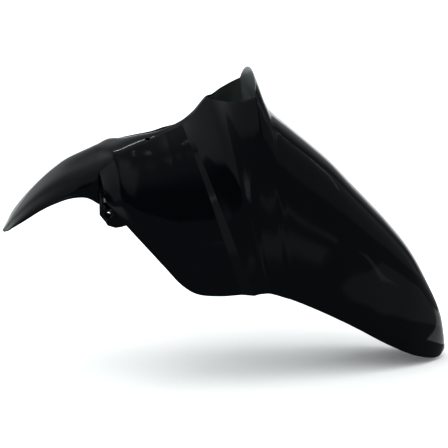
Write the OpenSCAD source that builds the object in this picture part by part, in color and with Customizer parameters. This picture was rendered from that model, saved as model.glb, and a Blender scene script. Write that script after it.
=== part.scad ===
// Front mudguard of a small motorcycle, moulded in one piece: a hood over the front of the wheel,
// a raised opening for the lower fork bridge, side panels over the fork legs and a narrow tail.
// The origin lies on the axis of the two fork leg bolts, on the centre plane.
// +X points forward to the nose, +Z up, and the part is symmetric about Y = 0.

/* [Shell] */
// Thickness of the moulded wall
wall = 2.5; // [2:0.1:3.2]
// Extra thickness of the bead along the lower edges
bead = 2; // [0:0.5:3]
// Height of the step from the tail up to the side panel
panel_step = 4.5; // [3:0.5:7]

/* [Tail] */
// Width across the tail
tail_w = 124; // [100:1:140]
// How far the tail reaches behind the fork leg bolts
tail_reach = 153; // [130:1:175]
// How far the tail's tip hangs below the fork leg bolts
tail_drop = 43; // [25:1:60]
// Height of the tail's crown above the fork leg bolts, where it meets the side panels
tail_crown = 80; // [74:1:86]

/* [Side panels] */
// Width across the two side panels
panel_w = 208; // [196:1:220]
// How far the panels reach below the fork leg bolts
panel_drop = 126; // [110:1:140]
// Forward end of the panel's lower edge
panel_front = 192; // [180:1:200]

/* [Fork bridge opening] */
// Width of the opening at its front
opening_w = 151; // [130:1:160]
// Rear end of the opening, forward of the fork leg bolts
opening_rear = 152; // [146:1:156]
// Front edge of the opening, forward of the fork leg bolts
opening_front = 211; // [206:1:218]
// Height of the rim above the fork leg bolts
rim_height = 152; // [145:1:159]
// Height of the peak over the rim
peak_rise = 40; // [28:1:46]
// How far the peak's tip leans forward over the corners of the opening
peak_lean = 9; // [4:0.5:11]

/* [Hood] */
// Width across the hood beside the opening
hood_w = 182; // [172:1:190]
// How far the nose reaches ahead of the fork leg bolts
nose_reach = 530; // [500:1:556]
// How far the nose hangs below the fork leg bolts
nose_drop = 271; // [250:1:290]

/* [Mountings] */
// Distance between the outer faces of the two fork leg lugs
lug_span = 168; // [160:1:174]
// Length of the boss round a lug's hole
boss_len = 18; // [8:1:20]
// Diameter of the boss round a lug's hole
boss_d = 17; // [14:1:20]
// Thickness of a lug's plate
lug_plate = 4; // [3:0.5:5]
// Height of a lug's plate above its hole
lug_reach = 30; // [26:1:32]
// Diameter of every mounting hole, for M6 screws
hole_d = 6.6; // [6:0.1:7]
// Distance between the two crown holes
crown_span = 36; // [30:1:40]
// Place of the crown holes, forward of the fork leg bolts
crown_x = 64; // [56:1:72]
// Diameter of the bosses under the crown holes
pad_d = 15; // [12:1:17]
// Height of the bosses under the crown holes, at the hole
pad_h = 9; // [6:1:12]

/* [Hidden] */
$fn = 48;
eps = 0.01;

// Rows across half a section: the crown, the seam and the side
crown_rows = 4;
side_rows = 11;
seam_row = crown_rows + 1;
last_row = seam_row + side_rows;

// Heights that follow from the driving sizes
peak_z = rim_height + peak_rise;
tail_half = tail_w / 2;
panel_half = panel_w / 2;
hood_half = hood_w / 2;
opening_half = opening_w / 2;
nose_len = nose_reach - opening_front;
nose_fall = peak_z + nose_drop;

// Where the tail ends against the side panels: its crown, and its lower edge
border_x = -0.09 * tail_reach;
border_edge = [0.86 * border_x, 0.071 * panel_drop];

// Where the hood's lower edge lies below the peak
opening_len = opening_front - opening_rear;
hood_low = [panel_front + 1.12 * opening_len, -1.1 * panel_drop];

// Points of the crown line along the saddle over the panels, and along the rim of the opening
function saddle_pt(along, up) = [along * opening_rear, tail_crown + up * (rim_height - tail_crown)];
function rim_pt(along, up) = [opening_rear + along * opening_len, rim_height + up * peak_rise];

// Height of the crown at the crown holes, its slope across the part, and the foot of the bosses
crown_z = saddle_pt(0, 0.185)[1] + 0.14 * (crown_x - 0.42 * opening_rear);
crown_fall = 0.42;
boss_foot = crown_z - wall / 2 - pad_h;

// A station is [crown point, lower edge point, half width at the edge,
// half width and depth of the seam line, slope of the section there].
// Its function takes them as shares of the sizes that they follow.
function tail_station(back, up, edge_back, edge_up, spread, seam, depth, slope) = [
    [border_x - back * (tail_reach + border_x), tail_crown - up * (tail_crown + tail_drop)],
    [border_edge[0] - edge_back * (tail_reach + border_edge[0]),
     border_edge[1] - edge_up * (border_edge[1] + tail_drop)],
    spread * tail_half, seam * spread * tail_half, depth * tail_half, slope];

tail = [
    tail_station(1.000, 0.990, 0.978, 0.985, 0.16, 0.45, 0.008, 20),
    tail_station(0.962, 0.925, 0.930, 0.850, 0.40, 0.50, 0.019, 20),
    tail_station(0.886, 0.780, 0.785, 0.528, 0.69, 0.55, 0.042, 24),
    tail_station(0.743, 0.584, 0.598, 0.168, 0.85, 0.60, 0.079, 28),
    tail_station(0.588, 0.410, 0.445, -0.045, 0.93, 0.68, 0.124, 35),
    tail_station(0.440, 0.272, 0.290, -0.185, 0.97, 0.78, 0.177, 42),
    tail_station(0.280, 0.148, 0.130, -0.190, 0.98, 0.88, 0.268, 55),
    tail_station(0.000, 0.000, 0.000, 0.010, 0.98, 0.98, 0.435, 78)];

function panel_station(crown, edge_x, edge_z, spread, seam, depth, slope) = [
    crown, [edge_x * panel_front, edge_z * panel_drop],
    spread * panel_half, seam * tail_half, depth * tail_half, slope];

panel = [
    panel_station([border_x, tail_crown], -0.026, 0.171, 0.93, 0.960, 0.435, 40),
    panel_station(saddle_pt(0.053, 0.083), 0.127, -0.116, 0.96, 1.000, 0.258, 38),
    panel_station(saddle_pt(0.197, 0.139), 0.284, -0.397, 0.98, 0.726, 0.177, 34),
    panel_station(saddle_pt(0.342, 0.208), 0.415, -0.632, 0.99, 0.565, 0.153, 30),
    panel_station(saddle_pt(0.474, 0.257), 0.535, -0.841, 1.00, 0.435, 0.123, 27),
    panel_station(saddle_pt(0.592, 0.333), 0.660, -0.965, 1.00, 0.290, 0.085, 25),
    panel_station(saddle_pt(0.684, 0.417), 0.830, -1.000, 1.00, 0.210, 0.074, 24),
    panel_station(saddle_pt(0.757, 0.500), 1.000, -0.994, 1.00, 0.145, 0.071, 25)];

function hood_station(crown, edge_out, edge_down, spread, seam, depth, slope) = [
    crown, [panel_front + edge_out * (hood_low[0] - panel_front), -edge_down * panel_drop],
    spread * hood_half, seam * opening_half, depth * opening_half, slope];

corner_depth = 0.371;
collar = [
    hood_station(saddle_pt(0.792, 0.548), 0.300, 1.040, 1.035, 0.106, 0.050, 25),
    hood_station(saddle_pt(0.888, 0.718), 0.418, 1.032, 1.01, 0.093, 0.021, 33),
    hood_station(rim_pt(0.000, -0.038), 0.545, 1.032, 0.985, 0.079, 0.005, 40),
    hood_station(rim_pt(0.203, 0.012), 0.667, 1.040, 0.96, 0.300, 0.026, 44),
    hood_station(rim_pt(0.441, 0.200), 0.773, 1.056, 0.955, 0.660, 0.093, 50),
    hood_station(rim_pt(0.712, 0.488), 0.879, 1.075, 0.95, 0.890, 0.185, 57),
    hood_station(rim_pt(1.000, 1.000), 1.000, 1.100, 0.945, 1.000, corner_depth, 64)];

function nose_station(out, down, edge_out, edge_down, spread, seam, depth, slope) = [
    [opening_front + out * nose_len, peak_z - down * nose_fall],
    [hood_low[0] + edge_out * (nose_reach - hood_low[0]),
     hood_low[1] - edge_down * (nose_drop + hood_low[1])],
    spread * hood_half, seam * spread * hood_half, depth * hood_half, slope];

nose = [
    nose_station(0.000, 0.000, 0.000, 0.000, 0.945, opening_half / hood_half / 0.945,
        corner_depth * opening_half / hood_half, 64),
    nose_station(0.030, 0.026, 0.022, 0.016, 0.94, 0.85, 0.286, 56),
    nose_station(0.060, 0.063, 0.044, 0.032, 0.94, 0.82, 0.247, 48),
    nose_station(0.092, 0.110, 0.070, 0.056, 0.935, 0.80, 0.198, 42),
    nose_station(0.140, 0.151, 0.106, 0.090, 0.93, 0.79, 0.159, 36),
    nose_station(0.216, 0.197, 0.158, 0.142, 0.92, 0.75, 0.132, 31),
    nose_station(0.312, 0.253, 0.245, 0.234, 0.90, 0.72, 0.115, 28),
    nose_station(0.409, 0.313, 0.344, 0.346, 0.87, 0.70, 0.104, 26),
    nose_station(0.512, 0.388, 0.450, 0.478, 0.81, 0.69, 0.097, 25),
    nose_station(0.595, 0.449, 0.540, 0.598, 0.75, 0.68, 0.090, 25),
    nose_station(0.684, 0.516, 0.625, 0.708, 0.67, 0.67, 0.082, 25),
    nose_station(0.794, 0.611, 0.745, 0.846, 0.56, 0.66, 0.071, 26),
    nose_station(0.887, 0.722, 0.830, 0.925, 0.44, 0.65, 0.055, 27),
    nose_station(0.959, 0.825, 0.905, 0.978, 0.31, 0.64, 0.037, 28),
    nose_station(0.992, 0.918, 0.958, 0.990, 0.19, 0.62, 0.021, 28),
    nose_station(1.000, 0.968, 0.990, 0.955, 0.09, 0.60, 0.008, 28)];

// Smooth interpolation through a list of stations
function curve(p0, p1, p2, p3, w) = 0.5 * (2 * p1 + (p2 - p0) * w
    + (2 * p0 - 5 * p1 + 4 * p2 - p3) * w * w + (3 * p1 - p0 - 3 * p2 + p3) * w * w * w);
function at(list, i) = i < 0 ? 2 * list[0] - list[1]
    : i >= len(list) ? 2 * list[len(list) - 1] - list[len(list) - 2] : list[i];
function flat(s) = [s[0][0], s[0][1], s[1][0], s[1][1], s[2], s[3], s[4], s[5]];
function flats(list) = [for (s = list) flat(s)];
function between(list, i, w) = curve(at(list, i - 1), list[i], list[i + 1], at(list, i + 2), w);
function smooth(list, cuts) = let (f = flats(list)) concat(
    [for (i = [0 : len(f) - 2], k = [0 : cuts - 1]) between(f, i, k / cuts)], [f[len(f) - 1]]);

// The columns of the whole shell, from the tail's tip to the nose
tail_cols = smooth(tail, 2);
panel_cols = smooth(panel, 2);
collar_cols = smooth(collar, 2);
nose_cols = [for (i = [1 : 2 * (len(nose) - 1)]) smooth(nose, 2)[i]];
cols = concat(tail_cols, panel_cols, collar_cols, nose_cols);

border = len(tail_cols) - 1;
crease = border + len(panel_cols);
hole_first = crease + 1 + 4;
hole_last = crease + len(collar_cols);
last_col = len(cols) - 1;

// Height of the seam's step at a column, which fades out towards the crease
function step_at(i) = i <= border || i >= crease ? 0
    : panel_step * min(1, (crease - i) / 4);

// A cubic curve in the plane of a section, and its direction
function bez(p, w) = pow(1 - w, 3) * p[0] + 3 * w * pow(1 - w, 2) * p[1]
    + 3 * w * w * (1 - w) * p[2] + pow(w, 3) * p[3];
function bez_dir(p, w) = pow(1 - w, 2) * (p[1] - p[0]) + 2 * w * (1 - w) * (p[2] - p[1])
    + w * w * (p[3] - p[2]);
function unit(v) = v / max(norm(v), eps);

function depth_of(c) = norm([c[2] - c[0], c[3] - c[1]]);
function down_of(c) = unit([c[2] - c[0], c[3] - c[1]]);
function seam_pt(c) = [c[5], c[6]];
function edge_pt(c) = [c[4], depth_of(c)];
function slope_dir(c) = [cos(c[7]), sin(c[7])];

// The crown meets the seam at the section's own slope, and just ahead of the tail at the tail's slope
tail_slope = tail[len(tail) - 1][5];
function crown_slope(c, i) = i <= border ? c[7]
    : c[7] + (tail_slope - c[7]) * max(0, 1 - (i - border - 1) / 4);
function crown_dir(c, i) = [cos(crown_slope(c, i)), sin(crown_slope(c, i))];
function crown_curve(c, i) = [[0, 0], [c[5] * 0.4, 0], seam_pt(c) - crown_dir(c, i) * c[5] * 0.3, seam_pt(c)];
function side_start(c, i) = seam_pt(c) + step_at(i) * [sin(c[7] / 2), -cos(c[7] / 2)];
function side_curve(c, i) = let (a = side_start(c, i), e = edge_pt(c), reach = norm(e - a))
    [a, a + slope_dir(c) * min(0.8 * max(e[0] - a[0], 0) / max(cos(c[7]), 0.35) + 0.08 * reach, 0.45 * reach),
     [e[0] + 0.02 * reach, a[1] + 0.45 * (e[1] - a[1])], e];

// Where the side rows lie along their curve: close together at the shoulder and at the bead
function side_w(k) = let (w = k / side_rows) w * (1.25 - 0.25 * w);
function row_pt(c, i, j) = j <= crown_rows ? bez(crown_curve(c, i), j / crown_rows)
    : bez(side_curve(c, i), side_w(j - seam_row));
function row_dir(c, i, j) = j < crown_rows ? unit(bez_dir(crown_curve(c, i), j / crown_rows))
    : j == crown_rows ? crown_dir(c, i) : j == seam_row ? slope_dir(c)
    : unit(bez_dir(side_curve(c, i), side_w(j - seam_row)));
function bead_at(j) = j == last_row ? bead : j == last_row - 1 ? bead / 2 : 0;

function in_pt(c, i, j) = let (d = row_dir(c, i, j), n = [d[1], -d[0]],
    along = (j == crown_rows || j == seam_row) && (step_at(i) > 0 || i == border) ? wall : 0)
    row_pt(c, i, j) - n * min(wall + bead_at(j), 0.8 * c[4]) + d * along;

// The peak's tip leans forward over the corners of the opening, less so from column to column
function lean_at(i, p) = i < hole_last ? 0
    : peak_lean * max(0, 1 - (i - hole_last) / 4) * max(0, 1 - p[1] / cols[i][6]);

function place(c, p, side, shift) = let (d = down_of(c))
    [c[0] + d[0] * p[1] + shift, side * max(p[0], 0), c[1] + d[1] * p[1]];
function outer(i, j, side) = let (p = row_pt(cols[i], i, j)) place(cols[i], p, side, lean_at(i, p));
function inner(i, j, side) = let (p = in_pt(cols[i], i, j)) place(cols[i], p, side,
    (i == border || i == border + 1) && j >= crown_rows ? wall : lean_at(i, p));

// Rows are numbered across the whole width, from the -Y edge over the crown to the +Y edge
row_count = 2 * last_row + 1;
function side_of(r) = r < last_row ? -1 : 1;
function row_of(r) = abs(r - last_row);
skin = (last_col + 1) * row_count;
points = concat(
    [for (i = [0 : last_col], r = [0 : row_count - 1]) outer(i, row_of(r), side_of(r))],
    [for (i = [0 : last_col], r = [0 : row_count - 1]) inner(i, row_of(r), side_of(r))]);

// Columns and rows that coincide share one point
function shared_row(i, r) = row_of(r) == seam_row && step_at(i) == 0 ? r - side_of(r) : r;
function shared_col(i, r) = i == border + 1 && row_of(r) <= crown_rows ? i - 1 : i;
function id(i, r, s) = let (q = shared_row(i, r)) s * skin + shared_col(i, q) * row_count + q;

function in_hole(i, r) = i >= hole_first && i < hole_last
    && max(row_of(r), row_of(r + 1)) <= crown_rows;
function in_grid(i, r) = i >= 0 && i < last_col && r >= 0 && r < row_count - 1;
function is_wall(i, r) = in_grid(i, r) && !in_hole(i, r);

function tri(a, b, c) = a == b || b == c || a == c ? [] : [[a, b, c]];
function quad(a, b, c, d) = concat(tri(a, b, c), tri(a, c, d));
function skin_faces(i, r) = concat(
    quad(id(i, r, 0), id(i, r + 1, 0), id(i + 1, r + 1, 0), id(i + 1, r, 0)),
    quad(id(i, r, 1), id(i + 1, r, 1), id(i + 1, r + 1, 1), id(i, r + 1, 1)));
function edge_face(i1, r1, i2, r2) = quad(id(i1, r1, 0), id(i1, r1, 1), id(i2, r2, 1), id(i2, r2, 0));
function edge_faces(i, r) = concat(
    is_wall(i - 1, r) ? [] : edge_face(i, r, i, r + 1),
    is_wall(i + 1, r) ? [] : edge_face(i + 1, r + 1, i + 1, r),
    is_wall(i, r - 1) ? [] : edge_face(i + 1, r, i, r),
    is_wall(i, r + 1) ? [] : edge_face(i, r + 1, i + 1, r + 1));
faces = [for (i = [0 : last_col - 1], r = [0 : row_count - 2]) if (is_wall(i, r))
    each concat(skin_faces(i, r), edge_faces(i, r))];

module shell() {
    polyhedron(points = points, faces = faces, convexity = 6);
}

// A lug inside the panel's rear corner, with a boss for the fork leg bolt
module lug(side) {
    face = lug_span / 2;
    inner_face = face - boss_len / 2 - lug_plate / 2;
    translate([0, side * face - (side > 0 ? boss_len : 0), 0]) rotate([-90, 0, 0])
        cylinder(d = boss_d, h = boss_len);
    translate([0, side * inner_face + (side > 0 ? lug_plate : 0), 0]) rotate([90, 0, 0])
        linear_extrude(lug_plate) lug_outline();
}

module lug_outline() {
    polygon(lug_reach * [[-0.43, 1], [-0.43, -0.1], [-0.15, -0.47], [-0.05, -0.65], [0.33, -0.78],
        [0.6, -0.75], [0.97, -0.65], [0.53, 0.13], [0.13, 1]]);
}

// Bosses under the crown: flat below, cut above to the slope of the crown and sunk in its wall
module crown_bosses() {
    half = pad_d / 2;
    for (side = [-1, 1]) translate([crown_x, side * crown_span / 2, 0]) intersection() {
        translate([0, 0, boss_foot]) cylinder(d = pad_d, h = 2 * pad_h);
        translate([-pad_d, 0, 0]) rotate([90, 0, 90]) linear_extrude(2 * pad_d)
            polygon([for (y = [-pad_d, pad_d]) [y, crown_z - wall / 2 - side * y * crown_fall],
                [pad_d, boss_foot - half], [-pad_d, boss_foot - half]]);
    }
}

module holes() {
    rotate([90, 0, 0]) cylinder(d = hole_d, h = lug_span + 2 * boss_len, center = true);
    for (side = [-1, 1]) translate([crown_x, side * crown_span / 2, tail_crown])
        cylinder(d = hole_d, h = 6 * pad_h, center = true);
}

module mudguard() {
    color("#0b0c0f") difference() {
        union() {
            shell();
            lug(-1);
            lug(1);
            crown_bosses();
        }
        holes();
    }
}

mudguard();
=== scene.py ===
"""Looks for a one-piece moulded motorcycle front mudguard in gloss black plastic.

The shell follows the same stations and section curves as the CAD part, with finer columns and rows,
rounded edges and a moulded finish. The part's sizes are in millimetres until its mesh is made. The
floor, the lights and the camera are in metres.
"""
import math
from collections import namedtuple

import bmesh
import bpy
from mathutils import Matrix, Vector


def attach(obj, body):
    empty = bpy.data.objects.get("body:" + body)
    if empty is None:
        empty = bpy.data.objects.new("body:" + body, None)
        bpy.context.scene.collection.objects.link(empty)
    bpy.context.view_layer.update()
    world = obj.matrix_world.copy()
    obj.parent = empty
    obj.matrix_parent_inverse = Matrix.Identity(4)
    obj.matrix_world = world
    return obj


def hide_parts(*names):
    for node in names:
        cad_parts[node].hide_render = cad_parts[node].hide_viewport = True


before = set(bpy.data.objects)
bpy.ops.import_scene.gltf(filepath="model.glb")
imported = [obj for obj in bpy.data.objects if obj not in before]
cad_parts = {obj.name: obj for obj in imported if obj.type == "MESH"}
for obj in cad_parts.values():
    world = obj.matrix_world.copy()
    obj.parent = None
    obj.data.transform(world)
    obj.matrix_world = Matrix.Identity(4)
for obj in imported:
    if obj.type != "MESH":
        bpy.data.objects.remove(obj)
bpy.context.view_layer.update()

MM = 0.001

# Driving sizes, the same as the part's
WALL, BEAD, PANEL_STEP = 2.5, 2, 4.5
TAIL_W, TAIL_REACH, TAIL_DROP, TAIL_CROWN = 124, 153, 43, 80
PANEL_W, PANEL_DROP, PANEL_FRONT = 208, 126, 192
OPENING_W, OPENING_REAR, OPENING_FRONT = 151, 152, 211
RIM_HEIGHT, PEAK_RISE, PEAK_LEAN = 152, 40, 9
HOOD_W, NOSE_REACH, NOSE_DROP = 182, 530, 271
LUG_SPAN, LUG_PLATE, LUG_REACH, BOSS_LEN, BOSS_D, HOLE_D = 168, 4, 30, 18, 17, 6.6
CROWN_SPAN, CROWN_X, PAD_D, PAD_H = 36, 64, 15, 9

# Sizes that follow from them
PEAK_Z = RIM_HEIGHT + PEAK_RISE
TAIL_HALF, PANEL_HALF, HOOD_HALF, OPENING_HALF = TAIL_W / 2, PANEL_W / 2, HOOD_W / 2, OPENING_W / 2
OPENING_LEN = OPENING_FRONT - OPENING_REAR
NOSE_LEN = NOSE_REACH - OPENING_FRONT
NOSE_FALL = PEAK_Z + NOSE_DROP
BOSS_MIDDLE = LUG_SPAN / 2 - BOSS_LEN / 2

# Where the tail ends and the side panels begin: the crown's x, and the lower edge's x and z
BORDER_X = -0.09 * TAIL_REACH
BORDER_EDGE = (0.86 * BORDER_X, 0.071 * PANEL_DROP)

# The lower edge below the peak, and the depth of the peak's corners as a share of the opening's half width
HOOD_LOW = (PANEL_FRONT + 1.12 * OPENING_LEN, -1.1 * PANEL_DROP)
CORNER_DEPTH = 0.371

# Rows of half a section and columns along the part, numbered as in the CAD part, and how finely
# the spaces between rows and between stations are cut here
CROWN_ROWS, SIDE_ROWS = 4, 11
SEAM_ROW = CROWN_ROWS + 1
LAST_ROW = SEAM_ROW + SIDE_ROWS
BEAD_ROWS = 2
STATION_COLS = 2
ROW_CUTS, COL_CUTS = 3, 6

# Over how many columns the panel's step, the tail's slope and the peak's lean fade out
FADE_COLS = 4

# How far the section curves are pulled, as shares of the seam's half width and of the side's reach
CROWN_PULL, SEAM_PULL = 0.4, 0.3
SIDE_PULL, SIDE_PULL_BASE, SIDE_PULL_MOST, LEAST_COSINE = 0.8, 0.08, 0.45, 0.35
EDGE_TUCK, EDGE_PULL = 0.02, 0.45

# How much closer the side rows lie at the shoulder, and how much of a narrow tip the wall may fill
ROW_CROWDING = 0.25
WALL_SHARE = 0.8

# Edge rounding in millimetres, its segments, and the angle from which an edge counts as sharp
SHELL_ROUND, LUG_ROUND, BOSS_ROUND = 0.8, 0.7, 0.6
ROUND_SEGMENTS, ROUND_ANGLE = 3, 30

# The saddle at the crown holes: a line through a point at a share of its length and rise, its slope
# along the part, and its fall to each side
SADDLE_MIDDLE, SADDLE_RISE, SADDLE_SLOPE, SADDLE_FALL = 0.42, 0.185, 0.14, 0.42

# How far tools reach past what they cut, and how finely round ones are made
PAD_OVER, WEDGE_UNDER, CROWN_DRILL_PAST, FORK_DRILL_PAST = 6, 8, 20, 10
ROUND_SIDES = 64

# Cleaning of the mesh: distances below which points are one, the smallest island of faces that
# stays, and the most edges of a gap that is filled
WELD, SLIVER = 0.02, 0.004
SMALLEST_ISLAND, GAP_EDGES = 50, 12

# A section: crown x and z, lower edge x and z, half width at the edge, half width and depth of the
# seam line between crown and side, and the slope of the section there in degrees
Station = namedtuple("Station", "crown_x crown_z edge_x edge_z half seam depth slope")


def tail_station(back, up, edge_back, edge_up, spread, seam, depth, slope):
    return Station(BORDER_X - back * (TAIL_REACH + BORDER_X), TAIL_CROWN - up * (TAIL_CROWN + TAIL_DROP),
                   BORDER_EDGE[0] - edge_back * (TAIL_REACH + BORDER_EDGE[0]),
                   BORDER_EDGE[1] - edge_up * (BORDER_EDGE[1] + TAIL_DROP),
                   spread * TAIL_HALF, seam * spread * TAIL_HALF, depth * TAIL_HALF, slope)


def saddle_pt(along, up):
    return (along * OPENING_REAR, TAIL_CROWN + up * (RIM_HEIGHT - TAIL_CROWN))


def rim_pt(along, up):
    return (OPENING_REAR + along * OPENING_LEN, RIM_HEIGHT + up * PEAK_RISE)


def panel_station(crown, edge_x, edge_z, spread, seam, depth, slope):
    return Station(*crown, edge_x * PANEL_FRONT, edge_z * PANEL_DROP,
                   spread * PANEL_HALF, seam * TAIL_HALF, depth * TAIL_HALF, slope)


def hood_station(crown, edge_out, edge_down, spread, seam, depth, slope):
    return Station(*crown, PANEL_FRONT + edge_out * (HOOD_LOW[0] - PANEL_FRONT), -edge_down * PANEL_DROP,
                   spread * HOOD_HALF, seam * OPENING_HALF, depth * OPENING_HALF, slope)


def nose_station(out, down, edge_out, edge_down, spread, seam, depth, slope):
    return Station(OPENING_FRONT + out * NOSE_LEN, PEAK_Z - down * NOSE_FALL,
                   HOOD_LOW[0] + edge_out * (NOSE_REACH - HOOD_LOW[0]),
                   HOOD_LOW[1] - edge_down * (NOSE_DROP + HOOD_LOW[1]),
                   spread * HOOD_HALF, seam * spread * HOOD_HALF, depth * HOOD_HALF, slope)


TAIL = [
    tail_station(1.000, 0.990, 0.978, 0.985, 0.16, 0.45, 0.008, 20),
    tail_station(0.962, 0.925, 0.930, 0.850, 0.40, 0.50, 0.019, 20),
    tail_station(0.886, 0.780, 0.785, 0.528, 0.69, 0.55, 0.042, 24),
    tail_station(0.743, 0.584, 0.598, 0.168, 0.85, 0.60, 0.079, 28),
    tail_station(0.588, 0.410, 0.445, -0.045, 0.93, 0.68, 0.124, 35),
    tail_station(0.440, 0.272, 0.290, -0.185, 0.97, 0.78, 0.177, 42),
    tail_station(0.280, 0.148, 0.130, -0.190, 0.98, 0.88, 0.268, 55),
    tail_station(0.000, 0.000, 0.000, 0.010, 0.98, 0.98, 0.435, 78)]
PANEL = [
    panel_station((BORDER_X, TAIL_CROWN), -0.026, 0.171, 0.93, 0.960, 0.435, 40),
    panel_station(saddle_pt(0.053, 0.083), 0.127, -0.116, 0.96, 1.000, 0.258, 38),
    panel_station(saddle_pt(0.197, 0.139), 0.284, -0.397, 0.98, 0.726, 0.177, 34),
    panel_station(saddle_pt(0.342, 0.208), 0.415, -0.632, 0.99, 0.565, 0.153, 30),
    panel_station(saddle_pt(0.474, 0.257), 0.535, -0.841, 1.00, 0.435, 0.123, 27),
    panel_station(saddle_pt(0.592, 0.333), 0.660, -0.965, 1.00, 0.290, 0.085, 25),
    panel_station(saddle_pt(0.684, 0.417), 0.830, -1.000, 1.00, 0.210, 0.074, 24),
    panel_station(saddle_pt(0.757, 0.500), 1.000, -0.994, 1.00, 0.145, 0.071, 25)]
COLLAR = [
    hood_station(saddle_pt(0.792, 0.548), 0.300, 1.040, 1.035, 0.106, 0.050, 25),
    hood_station(saddle_pt(0.888, 0.718), 0.418, 1.032, 1.01, 0.093, 0.021, 33),
    hood_station(rim_pt(0.000, -0.038), 0.545, 1.032, 0.985, 0.079, 0.005, 40),
    hood_station(rim_pt(0.203, 0.012), 0.667, 1.040, 0.96, 0.300, 0.026, 44),
    hood_station(rim_pt(0.441, 0.200), 0.773, 1.056, 0.955, 0.660, 0.093, 50),
    hood_station(rim_pt(0.712, 0.488), 0.879, 1.075, 0.95, 0.890, 0.185, 57),
    hood_station(rim_pt(1.000, 1.000), 1.000, 1.100, 0.945, 1.000, CORNER_DEPTH, 64)]
NOSE = [
    nose_station(0.000, 0.000, 0.000, 0.000, 0.945, OPENING_HALF / HOOD_HALF / 0.945,
                 CORNER_DEPTH * OPENING_HALF / HOOD_HALF, 64),
    nose_station(0.030, 0.026, 0.022, 0.016, 0.94, 0.85, 0.286, 56),
    nose_station(0.060, 0.063, 0.044, 0.032, 0.94, 0.82, 0.247, 48),
    nose_station(0.092, 0.110, 0.070, 0.056, 0.935, 0.80, 0.198, 42),
    nose_station(0.140, 0.151, 0.106, 0.090, 0.93, 0.79, 0.159, 36),
    nose_station(0.216, 0.197, 0.158, 0.142, 0.92, 0.75, 0.132, 31),
    nose_station(0.312, 0.253, 0.245, 0.234, 0.90, 0.72, 0.115, 28),
    nose_station(0.409, 0.313, 0.344, 0.346, 0.87, 0.70, 0.104, 26),
    nose_station(0.512, 0.388, 0.450, 0.478, 0.81, 0.69, 0.097, 25),
    nose_station(0.595, 0.449, 0.540, 0.598, 0.75, 0.68, 0.090, 25),
    nose_station(0.684, 0.516, 0.625, 0.708, 0.67, 0.67, 0.082, 25),
    nose_station(0.794, 0.611, 0.745, 0.846, 0.56, 0.66, 0.071, 26),
    nose_station(0.887, 0.722, 0.830, 0.925, 0.44, 0.65, 0.055, 27),
    nose_station(0.959, 0.825, 0.905, 0.978, 0.31, 0.64, 0.037, 28),
    nose_station(0.992, 0.918, 0.958, 0.990, 0.19, 0.62, 0.021, 28),
    nose_station(1.000, 0.968, 0.990, 0.955, 0.09, 0.60, 0.008, 28)]

# The station of the collar at which the opening begins. It ends at the last one
OPENING_STATION = 2

# Column numbers: the tail's last, the panel's last, and the first and last of the opening
BORDER = STATION_COLS * (len(TAIL) - 1)
CREASE = BORDER + 1 + STATION_COLS * (len(PANEL) - 1)
HOLE_FIRST = CREASE + 1 + STATION_COLS * OPENING_STATION
HOLE_LAST = CREASE + 1 + STATION_COLS * (len(COLLAR) - 1)

# How strongly edges are rounded: every rim, the step's rows on the panel up to just short of the
# crease, and whole columns from a row downwards
RIM_WEIGHT = 1.0
STEP_WEIGHTS = {CROWN_ROWS: 0.6, SEAM_ROW: 1.0}
STEP_END = CREASE - 0.5
COLUMN_WEIGHTS = {BORDER: (CROWN_ROWS, 0.5), BORDER + 1: (CROWN_ROWS, 1.0),
                  CREASE: (SEAM_ROW, 0.8), CREASE + 1: (SEAM_ROW, 0.8)}


def station_at(stations, i):
    """A station, carried on in a straight line past either end."""
    if i < 0:
        return tuple(2 * a - b for a, b in zip(stations[0], stations[1]))
    if i >= len(stations):
        return tuple(2 * a - b for a, b in zip(stations[-1], stations[-2]))
    return stations[i]


def between(stations, i, w):
    """The section w of the way from station i to the next, on a smooth curve through all of them."""
    quad = zip(station_at(stations, i - 1), stations[i], stations[i + 1], station_at(stations, i + 2))
    return Station(*(0.5 * (2 * b + (c - a) * w + (2 * a - 5 * b + 4 * c - d) * w * w
                            + (3 * b - a - 3 * c + d) * w ** 3) for a, b, c, d in quad))


def columns():
    """The sections from the tail's tip to the nose, each with its column number.

    The collar's last station is the nose's first, so the nose skips it.
    """
    out = []
    start = 0
    for stations, skip in ((TAIL, 0), (PANEL, 0), (COLLAR, 0), (NOSE, 1)):
        base = start - skip
        gaps = len(stations) - 1
        for k in range(skip, gaps * COL_CUTS + 1):
            i = min(k // COL_CUTS, gaps - 1)
            out.append((base + STATION_COLS * k / COL_CUTS, between(stations, i, k / COL_CUTS - i)))
        start = base + STATION_COLS * gaps + 1
    return out


def step_at(u):
    """How far the side panel stands out from the shell at a column."""
    if u <= BORDER or u >= CREASE:
        return 0.0
    return PANEL_STEP * min(1.0, (CREASE - u) / FADE_COLS)


def add(a, b, k=1.0):
    return (a[0] + k * b[0], a[1] + k * b[1])


def unit(v):
    n = max(math.hypot(*v), 0.01)
    return (v[0] / n, v[1] / n)


def direction(degrees):
    return (math.cos(math.radians(degrees)), math.sin(math.radians(degrees)))


def bez(p, w):
    """A point on the Bezier curve of four points."""
    return tuple((1 - w) ** 3 * a + 3 * w * (1 - w) ** 2 * b + 3 * w * w * (1 - w) * c + w ** 3 * d
                 for a, b, c, d in zip(*p))


def bez_dir(p, w):
    """The direction of the Bezier curve of four points, not of unit length."""
    return tuple((1 - w) ** 2 * (b - a) + 2 * w * (1 - w) * (c - b) + w * w * (d - c)
                 for a, b, c, d in zip(*p))


def crown_dir(c, u):
    """The crown meets the seam at the section's own slope, and just ahead of the tail at the tail's."""
    if u <= BORDER:
        return direction(c.slope)
    return direction(c.slope + (TAIL[-1].slope - c.slope) * max(0, 1 - (u - BORDER - 1) / FADE_COLS))


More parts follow.
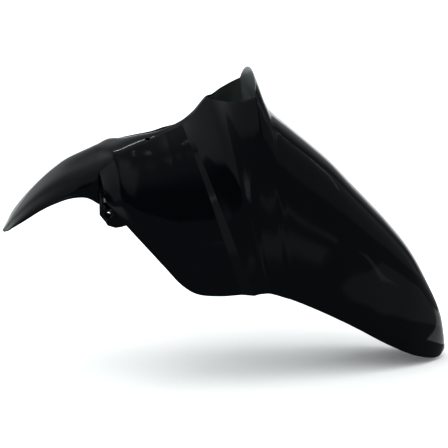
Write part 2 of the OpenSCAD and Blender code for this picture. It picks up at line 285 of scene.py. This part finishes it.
def crown_curve(c, u):
    """From the crown line out to the seam, as (across, down) in the section's plane."""
    seam = (c.seam, c.depth)
    return ((0, 0), (c.seam * CROWN_PULL, 0), add(seam, crown_dir(c, u), -c.seam * SEAM_PULL), seam)


def side_curve(c, u):
    """From the seam, or the panel's step beyond it, down to the lower edge."""
    half_turn = math.radians(c.slope / 2)
    a = add((c.seam, c.depth), (math.sin(half_turn), -math.cos(half_turn)), step_at(u))
    e = (c.half, math.hypot(c.edge_x - c.crown_x, c.edge_z - c.crown_z))
    reach = math.hypot(e[0] - a[0], e[1] - a[1])
    level = max(math.cos(math.radians(c.slope)), LEAST_COSINE)
    pull = min(SIDE_PULL * max(e[0] - a[0], 0) / level + SIDE_PULL_BASE * reach, SIDE_PULL_MOST * reach)
    return (a, add(a, direction(c.slope), pull),
            (e[0] + EDGE_TUCK * reach, a[1] + EDGE_PULL * (e[1] - a[1])), e)


def side_w(k):
    w = k / SIDE_ROWS
    return w * (1 + ROW_CROWDING - ROW_CROWDING * w)


def lean_at(c, u, p):
    """The peak's tip leans forward over the corners of the opening, less so from column to column."""
    if u < HOLE_LAST:
        return 0.0
    return PEAK_LEAN * max(0, 1 - (u - HOLE_LAST) / FADE_COLS) * max(0, 1 - p[1] / c.depth)


def section(c, u):
    """Row number, outer and inner point of half a section, from the crown to the lower edge."""
    rows = []
    crown, side = crown_curve(c, u), side_curve(c, u)
    for k in range(CROWN_ROWS * ROW_CUTS + 1):
        v = k / ROW_CUTS
        d = crown_dir(c, u) if v == CROWN_ROWS else unit(bez_dir(crown, v / CROWN_ROWS))
        rows.append((v, bez(crown, v / CROWN_ROWS), d))
    for k in range(SIDE_ROWS * ROW_CUTS + 1):
        w = side_w(k / ROW_CUTS)
        d = direction(c.slope) if k == 0 else unit(bez_dir(side, w))
        rows.append((SEAM_ROW + k / ROW_CUTS, bez(side, w), d))
    stepped = step_at(u) > 0 or u == BORDER
    out = []
    for v, p, d in rows:
        t = min(max((v - LAST_ROW + BEAD_ROWS) / BEAD_ROWS, 0), 1)
        thick = min(WALL + BEAD * t * t * (3 - 2 * t), WALL_SHARE * c.half)
        along = WALL if v in (CROWN_ROWS, SEAM_ROW) and stepped else 0
        out.append((v, p, add(add(p, (d[1], -d[0]), -thick), d, along)))
    return out


def place(c, p, side, shift):
    """A section's point in space, on one side of the part and shifted forward."""
    d = unit((c.edge_x - c.crown_x, c.edge_z - c.crown_z))
    return Vector(((c.crown_x + d[0] * p[1] + shift) * MM, side * max(p[0], 0) * MM,
                   (c.crown_z + d[1] * p[1]) * MM))


def strips():
    """Each column's number, and its row numbers with their outer and inner points, from -Y to +Y."""
    out = []
    last_half = []
    for u, c in columns():
        half = section(c, u)
        if u == BORDER + 1:
            half = [t if t[0] <= CROWN_ROWS else h for t, h in zip(last_half, half)]
        last_half = half
        strip = []
        for r in range(1 - len(half), len(half)):
            v, p, q = half[abs(r)]
            side = -1 if r < 0 else 1
            on_border = u in (BORDER, BORDER + 1) and v >= CROWN_ROWS
            inner_shift = WALL if on_border else lean_at(c, u, q)
            strip.append((v, place(c, p, side, lean_at(c, u, p)), place(c, q, side, inner_shift)))
        out.append((u, strip))
    return out


def shell_mesh():
    """The shell as one closed mesh: outer skin, inner skin and every edge between them."""
    grid = strips()
    us = [u for u, strip in grid]
    rows = [v for v, p, q in grid[0][1]]
    n, m = len(us), len(rows)
    bm = bmesh.new()
    outer = [[bm.verts.new(p) for v, p, q in strip] for u, strip in grid]
    inner = [[bm.verts.new(q) for v, p, q in strip] for u, strip in grid]

    def solid(i, r):
        """Whether there is material between column i and the next and row r and the next."""
        if not (0 <= i < n - 1 and 0 <= r < m - 1):
            return False
        middle = (us[i] + us[i + 1]) / 2
        return not (HOLE_FIRST < middle < HOLE_LAST and max(rows[r], rows[r + 1]) <= CROWN_ROWS)

    rim = []
    for i in range(n - 1):
        for r in range(m - 1):
            if not solid(i, r):
                continue
            bm.faces.new((outer[i][r], outer[i][r + 1], outer[i + 1][r + 1], outer[i + 1][r]))
            inside = bm.faces.new((inner[i][r], inner[i + 1][r], inner[i + 1][r + 1], inner[i][r + 1]))
            inside.material_index = INSIDE_SLOT
            for beyond, (i1, r1), (i2, r2) in (
                    ((i - 1, r), (i, r), (i, r + 1)), ((i + 1, r), (i + 1, r + 1), (i + 1, r)),
                    ((i, r - 1), (i + 1, r), (i, r)), ((i, r + 1), (i, r + 1), (i + 1, r + 1))):
                if not solid(*beyond):
                    bm.faces.new((outer[i1][r1], inner[i1][r1], inner[i2][r2], outer[i2][r2]))
                    rim += [(outer[i1][r1], outer[i2][r2]), (inner[i1][r1], inner[i2][r2])]

    weight = bm.edges.layers.float.new("bevel_weight_edge")

    def mark(a, b, w):
        """Set how strongly the edge between two points is rounded, where there is an edge."""
        e = bm.edges.get((a, b))
        if e is not None:
            e[weight] = w

    for a, b in rim:
        mark(a, b, RIM_WEIGHT)
    for i in range(n - 1):
        if BORDER + 1 <= us[i] < STEP_END:
            for r in range(m):
                if rows[r] in STEP_WEIGHTS:
                    mark(outer[i][r], outer[i + 1][r], STEP_WEIGHTS[rows[r]])
    for i in range(n):
        if us[i] in COLUMN_WEIGHTS:
            top_row, w = COLUMN_WEIGHTS[us[i]]
            for r in range(m - 1):
                if min(rows[r], rows[r + 1]) >= top_row:
                    mark(outer[i][r], outer[i][r + 1], w)
    bmesh.ops.remove_doubles(bm, verts=bm.verts[:], dist=WELD * MM)
    bmesh.ops.recalc_face_normals(bm, faces=bm.faces[:])
    return bm


def add_node(tree, kind, values):
    """A new shader node with some of its inputs set."""
    node = tree.nodes.new(kind)
    for name, value in values.items():
        node.inputs[name].default_value = value
    return node


def plastic(name, colour, specular, rough_low, rough_high, peel_strength):
    """Black moulded plastic: faint clouds of duller gloss, and the slight orange peel of a moulded face."""
    mat = bpy.data.materials.new(name)
    mat.use_nodes = True
    tree = mat.node_tree
    shader = tree.nodes["Principled BSDF"]
    shader.inputs["Base Color"].default_value = (*colour, 1)
    shader.inputs["Specular IOR Level"].default_value = specular
    coords = add_node(tree, "ShaderNodeTexCoord", {})
    cloud = add_node(tree, "ShaderNodeTexNoise", {"Scale": 9.0, "Detail": 5.0})
    rough = add_node(tree, "ShaderNodeMapRange", {"From Min": 0.35, "From Max": 0.7,
                                                  "To Min": rough_low, "To Max": rough_high})
    peel = add_node(tree, "ShaderNodeTexNoise", {"Scale": 260.0, "Detail": 2.0})
    bump = add_node(tree, "ShaderNodeBump", {"Strength": peel_strength, "Distance": 0.0004})
    for noise in (cloud, peel):
        tree.links.new(coords.outputs["Object"], noise.inputs["Vector"])
    tree.links.new(cloud.outputs["Fac"], rough.inputs["Value"])
    tree.links.new(rough.outputs["Result"], shader.inputs["Roughness"])
    tree.links.new(peel.outputs["Fac"], bump.inputs["Height"])
    tree.links.new(bump.outputs["Normal"], shader.inputs["Normal"])
    return mat


def pale_floor():
    """Plain matt grey, which the lights bring up to nearly white."""
    mat = bpy.data.materials.new("pale_floor")
    mat.use_nodes = True
    shader = mat.node_tree.nodes["Principled BSDF"]
    shader.inputs["Base Color"].default_value = (0.56, 0.56, 0.56, 1)
    shader.inputs["Roughness"].default_value = 0.95
    shader.inputs["Specular IOR Level"].default_value = 0.1
    return mat


# The moulding's two finishes, gloss on the outer skin and the edges, satin on the inner skin
GLOSS = plastic("gloss_black_plastic", (0.0005, 0.0009, 0.0019), 0.1, 0.06, 0.12, 0.05)
SATIN = plastic("satin_inside_plastic", (0.075, 0.086, 0.084), 0.4, 0.36, 0.5, 0.15)
INSIDE_SLOT = 1


def new_object(name, bm, materials=(GLOSS, SATIN)):
    mesh = bpy.data.meshes.new(name)
    for mat in materials:
        mesh.materials.append(mat)
    bm.to_mesh(mesh)
    bm.free()
    ob = bpy.data.objects.new(name, mesh)
    bpy.context.scene.collection.objects.link(ob)
    return ob


def apply_modifiers(ob):
    graph = bpy.context.evaluated_depsgraph_get()
    mesh = bpy.data.meshes.new_from_object(ob.evaluated_get(graph))
    ob.modifiers.clear()
    ob.data = mesh


def prism(points, low, high, axis):
    """A closed prism: its outline lies across the axis, and it runs from low to high along it."""
    bm = bmesh.new()

    def at(p, t):
        return Vector({"X": (t, *p), "Y": (p[0], t, p[1]), "Z": (*p, t)}[axis]) * MM

    a = [bm.verts.new(at(p, low)) for p in points]
    b = [bm.verts.new(at(p, high)) for p in points]
    bm.faces.new(a)
    bm.faces.new(b[::-1])
    for i in range(len(points)):
        j = (i + 1) % len(points)
        bm.faces.new((a[i], b[i], b[j], a[j]))
    bmesh.ops.recalc_face_normals(bm, faces=bm.faces[:])
    return bm


def cylinder(radius, low, high, centre, axis):
    turns = [2 * math.pi * k / ROUND_SIDES for k in range(ROUND_SIDES)]
    points = [(centre[0] + radius * math.cos(t), centre[1] + radius * math.sin(t)) for t in turns]
    return prism(points, low, high, axis)


def round_edges(ob, width, limit="ANGLE"):
    """Round the sharp edges, or with the limit WEIGHT the edges that carry a weight."""
    m = ob.modifiers.new("bevel", "BEVEL")
    m.width = width * MM
    m.segments = ROUND_SEGMENTS
    m.limit_method = limit
    m.angle_limit = math.radians(ROUND_ANGLE)
    m.use_clamp_overlap = True
    apply_modifiers(ob)
    return ob


def combine(target, other, operation):
    m = target.modifiers.new(operation.lower(), "BOOLEAN")
    m.operation = operation
    m.solver = "EXACT"
    m.object = other
    apply_modifiers(target)
    bpy.data.objects.remove(other)


def lug(side):
    """The flat ear at the lower rear corner of a side panel."""
    outline = [(LUG_REACH * x, LUG_REACH * z) for x, z in (
        (-0.43, 1), (-0.43, -0.1), (-0.15, -0.47), (-0.05, -0.65), (0.33, -0.78), (0.6, -0.75),
        (0.97, -0.65), (0.53, 0.13), (0.13, 1))]
    middle = side * BOSS_MIDDLE
    plate = prism(outline, middle - LUG_PLATE / 2, middle + LUG_PLATE / 2, "Y")
    return round_edges(new_object("lug", plate), LUG_ROUND)


def boss(side):
    """The round boss through a lug, which takes the fork leg's screw."""
    middle = side * BOSS_MIDDLE
    barrel = cylinder(BOSS_D / 2, middle - BOSS_LEN / 2, middle + BOSS_LEN / 2, (0, 0), "Y")
    return round_edges(new_object("boss", barrel), BOSS_ROUND)


SADDLE_Z = saddle_pt(0, SADDLE_RISE)[1] + SADDLE_SLOPE * (CROWN_X - SADDLE_MIDDLE * OPENING_REAR)
PAD_FOOT = SADDLE_Z - WALL / 2 - PAD_H


def pad(side):
    """The round pad under a crown screw, whose top ends inside the sloping wall."""
    y = side * CROWN_SPAN / 2
    column = new_object("pad", cylinder(PAD_D / 2, PAD_FOOT, SADDLE_Z + PAD_OVER, (CROWN_X, y), "Z"))
    top = [(y + d, SADDLE_Z - WALL / 2 - side * d * SADDLE_FALL) for d in (-PAD_D, PAD_D)]
    below = PAD_FOOT - WEDGE_UNDER
    wedge = prism([*top, (y + PAD_D, below), (y - PAD_D, below)], CROWN_X - PAD_D, CROWN_X + PAD_D, "X")
    combine(column, new_object("wedge", wedge), "INTERSECT")
    return column


def crown_drill(side):
    """What a screw hole takes out of the crown and its pad."""
    low, high = PAD_FOOT - CROWN_DRILL_PAST, SADDLE_Z + CROWN_DRILL_PAST
    return new_object("drill", cylinder(HOLE_D / 2, low, high, (CROWN_X, side * CROWN_SPAN / 2), "Z"))


def fork_drill():
    """What the screw holes take out of both lugs and bosses."""
    end = LUG_SPAN / 2 + FORK_DRILL_PAST
    return new_object("drill", cylinder(HOLE_D / 2, -end, end, (0, 0), "Y"))


def islands(bm):
    """Groups of faces that hang together over edges with exactly two faces."""
    seen, groups = set(), []
    for start in bm.faces:
        if start in seen:
            continue
        seen.add(start)
        group, todo = [start], [start]
        while todo:
            for f in [f for e in todo.pop().edges if len(e.link_faces) == 2 for f in e.link_faces]:
                if f not in seen:
                    seen.add(f)
                    group.append(f)
                    todo.append(f)
        groups.append(group)
    return groups


def clear_slivers(ob):
    """Weld points that coincide, and take out faces that lie back to back with no thickness."""
    bm = bmesh.new()
    bm.from_mesh(ob.data)
    bmesh.ops.remove_doubles(bm, verts=bm.verts[:], dist=SLIVER * MM)
    for again in range(2):
        twins = {}
        for f in bm.faces:
            twins.setdefault(frozenset(f.verts), []).append(f)
        doubled = [f for group in twins.values() if len(group) > 1 for f in group]
        bmesh.ops.delete(bm, geom=doubled, context="FACES")
        bmesh.ops.triangulate(bm, faces=bm.faces[:])
    small = [f for group in islands(bm) if len(group) < SMALLEST_ISLAND for f in group]
    bmesh.ops.delete(bm, geom=small, context="FACES")
    bmesh.ops.holes_fill(bm, edges=[e for e in bm.edges if e.is_boundary], sides=GAP_EDGES)
    bmesh.ops.triangulate(bm, faces=bm.faces[:])
    bm.to_mesh(ob.data)
    bm.free()


# The moulding
shell = round_edges(new_object("mudguard_moulding", shell_mesh()), SHELL_ROUND, "WEIGHT")
for side in (-1, 1):
    for piece in (lug, boss, pad):
        combine(shell, piece(side), "UNION")
    combine(shell, crown_drill(side), "DIFFERENCE")
combine(shell, fork_drill(), "DIFFERENCE")
clear_slivers(shell)
shell.data.polygons.foreach_set("use_smooth", [True] * len(shell.data.polygons))
normals = shell.modifiers.new("normals", "WEIGHTED_NORMAL")
normals.keep_sharp = True

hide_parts("mudguard")
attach(shell, "root")

# The stage: a wide pale floor just below the nose
floor_bm = bmesh.new()
bmesh.ops.create_circle(floor_bm, cap_ends=True, radius=30, segments=96)
floor = new_object("floor", floor_bm, materials=(pale_floor(),))
floor.location = (0.18, 0, -0.276)

# Brightness of the light tent's parts, and its tint
ROOM, TAIL_WALL, NOSE_WALL, CEILING = 0.42, 1.6, 1.1, 0.75
TENT_TINT = (0.97, 1, 1, 1)

# Where their edges fade, in degrees, each pair from none to full. Turn is 0 in front of the part and
# grows towards the nose's side, and height is 0 at the horizon
TAIL_ARC = ((-172, -132), (-3, -12))
NOSE_ARC = ((16, 26), (118, 95))
WALL_FOOT, WALL_TOP, CEILING_EDGE = (-10, 4), (88, 70), (25, 60)


def light_tent():
    """The world as a light tent: a bright wall to the tail's side, a paler one to the nose's side,
    a dark gap between them in front of the part, and a soft ceiling."""
    world = bpy.data.worlds.new("light_tent")
    world.use_nodes = True
    tree = world.node_tree

    def feed(socket, value):
        if isinstance(value, (int, float)):
            socket.default_value = value
        else:
            tree.links.new(value, socket)

    def calc(operation, a, b=0.0):
        node = tree.nodes.new("ShaderNodeMath")
        node.operation = operation
        feed(node.inputs[0], a)
        feed(node.inputs[1], b)
        return node.outputs[0]

    def fade(value, ends):
        """0 at the first end and 1 at the second, eased at both, whichever of them is lower."""
        none, full = ends
        node = add_node(tree, "ShaderNodeMapRange", {
            "From Min": min(ends), "From Max": max(ends),
            "To Min": 0.0 if none < full else 1.0, "To Max": 1.0 if none < full else 0.0})
        node.interpolation_type = "SMOOTHSTEP"
        feed(node.inputs["Value"], value)
        return node.outputs["Result"]

    def product(first, *rest):
        for value in rest:
            first = calc("MULTIPLY", first, value)
        return first

    split = tree.nodes.new("ShaderNodeSeparateXYZ")
    tree.links.new(tree.nodes.new("ShaderNodeTexCoord").outputs["Generated"], split.inputs[0])
    x, y, z = split.outputs
    turn = calc("MULTIPLY", calc("ARCTAN2", x, calc("MULTIPLY", y, -1)), 180 / math.pi)
    height = calc("MULTIPLY", calc("ARCSINE", z), 180 / math.pi)
    tail_wall = product(TAIL_WALL, *(fade(turn, ends) for ends in TAIL_ARC),
                        fade(height, WALL_FOOT), fade(height, WALL_TOP))
    nose_wall = product(NOSE_WALL, *(fade(turn, ends) for ends in NOSE_ARC), fade(height, WALL_TOP))
    total = calc("ADD", tail_wall, nose_wall)
    for value in (product(CEILING, fade(height, CEILING_EDGE)), ROOM):
        total = calc("ADD", total, value)
    background = tree.nodes["Background"]
    background.inputs["Color"].default_value = TENT_TINT
    tree.links.new(total, background.inputs["Strength"])
    return world


bpy.context.scene.world = light_tent()
bpy.context.scene.view_settings.view_transform = "Standard"
bpy.context.scene.view_settings.look = "High Contrast"

# Strips and low cards whose reflections run over the hood, the nose, the panel and the tail:
# name, the middle of either short side, width, brightness, and a point that the light faces
SOFT_LIGHTS = (
    ("hood_strip", (1.62, -0.50, 0.50), (1.55, 0.22, 0.80), 0.04, 3.5, (0.3, 0, 0)),
    ("nose_card", (0.545, 0.2, -0.262), (0.95, 0.2, -0.262), 0.52, 2.7, (0.75, 0.2, 1)),
    ("side_card", (0.56, -0.20, -0.26), (1.10, -0.40, -0.26), 0.42, 0.7, (0.85, -0.35, 1)),
    ("leaf_card", (0.30, -0.70, -0.26), (0.50, -0.57, -0.26), 0.13, 0.9, (0.4, -0.6, 1)),
    ("band_card", (0.30, -1.12, -0.26), (0.66, -0.74, -0.26), 0.10, 0.9, (0.5, -0.95, 1)),
    ("streak_card", (0.86, -0.66, -0.26), (0.73, -0.35, -0.26), 0.05, 1.2, (0.8, -0.5, 1)),
    ("collar_card", (-0.95, -1.05, -0.26), (-0.15, -1.30, -0.26), 0.7, 0.9, (-0.5, -1.2, 1)),
    ("tail_card", (-0.62, -0.95, -0.25), (-0.14, -1.05, -0.25), 0.6, 1.6, (-0.4, -1.0, 1)),
    ("edge_card", (-0.11, -0.33, -0.26), (0.0, -0.37, -0.26), 0.06, 30.0, (-0.05, -0.35, 1)),
    ("top_strip", (0.135, 0.22, 1.57), (0.135, 0.08, 1.57), 0.006, 14.0, (0.1, 0, 0)),
    ("seam_strip", (-0.12, 1.25, 1.5), (0.40, 1.25, 1.5), 0.05, 22.0, (0, 0, 0.05)))


def soft_light(name, start, end, width, radiance, aim):
    """A flat soft light from one end to the other, turned to face the aim. The camera doesn't see it."""
    a, b, to = Vector(start), Vector(end), Vector(aim)
    middle = (a + b) / 2
    long = (b - a).normalized()
    back = (middle - to - (middle - to).dot(long) * long).normalized()
    data = bpy.data.lights.new(name, "AREA")
    data.shape = "RECTANGLE"
    data.size, data.size_y = (b - a).length, width
    data.energy = radiance * math.pi * data.size * data.size_y
    ob = bpy.data.objects.new(name, data)
    ob.matrix_world = Matrix((long, back.cross(long), back)).transposed().to_4x4()
    ob.location = middle
    ob.visible_camera = False
    bpy.context.scene.collection.objects.link(ob)


for light in SOFT_LIGHTS:
    soft_light(*light)

# The camera, at the photograph's viewing angle. The frame's width is measured at the target
TARGET = Vector((0.1798, 0, -0.0459))
AZIMUTH, ELEVATION, DISTANCE, FRAME_WIDTH = math.radians(-8), math.radians(16), 2.5, 0.6788
cam = bpy.data.cameras.new("camera")
cam.sensor_width = 36
cam.lens = cam.sensor_width * DISTANCE / FRAME_WIDTH
camera = bpy.data.objects.new("camera", cam)
bpy.context.scene.collection.objects.link(camera)
towards = Vector((math.sin(AZIMUTH) * math.cos(ELEVATION), -math.cos(AZIMUTH) * math.cos(ELEVATION),
                  math.sin(ELEVATION)))
camera.location = TARGET + DISTANCE * towards
camera.rotation_euler = (-towards).to_track_quat("-Z", "Y").to_euler()
bpy.context.scene.camera = camera

bpy.context.view_layer.update()
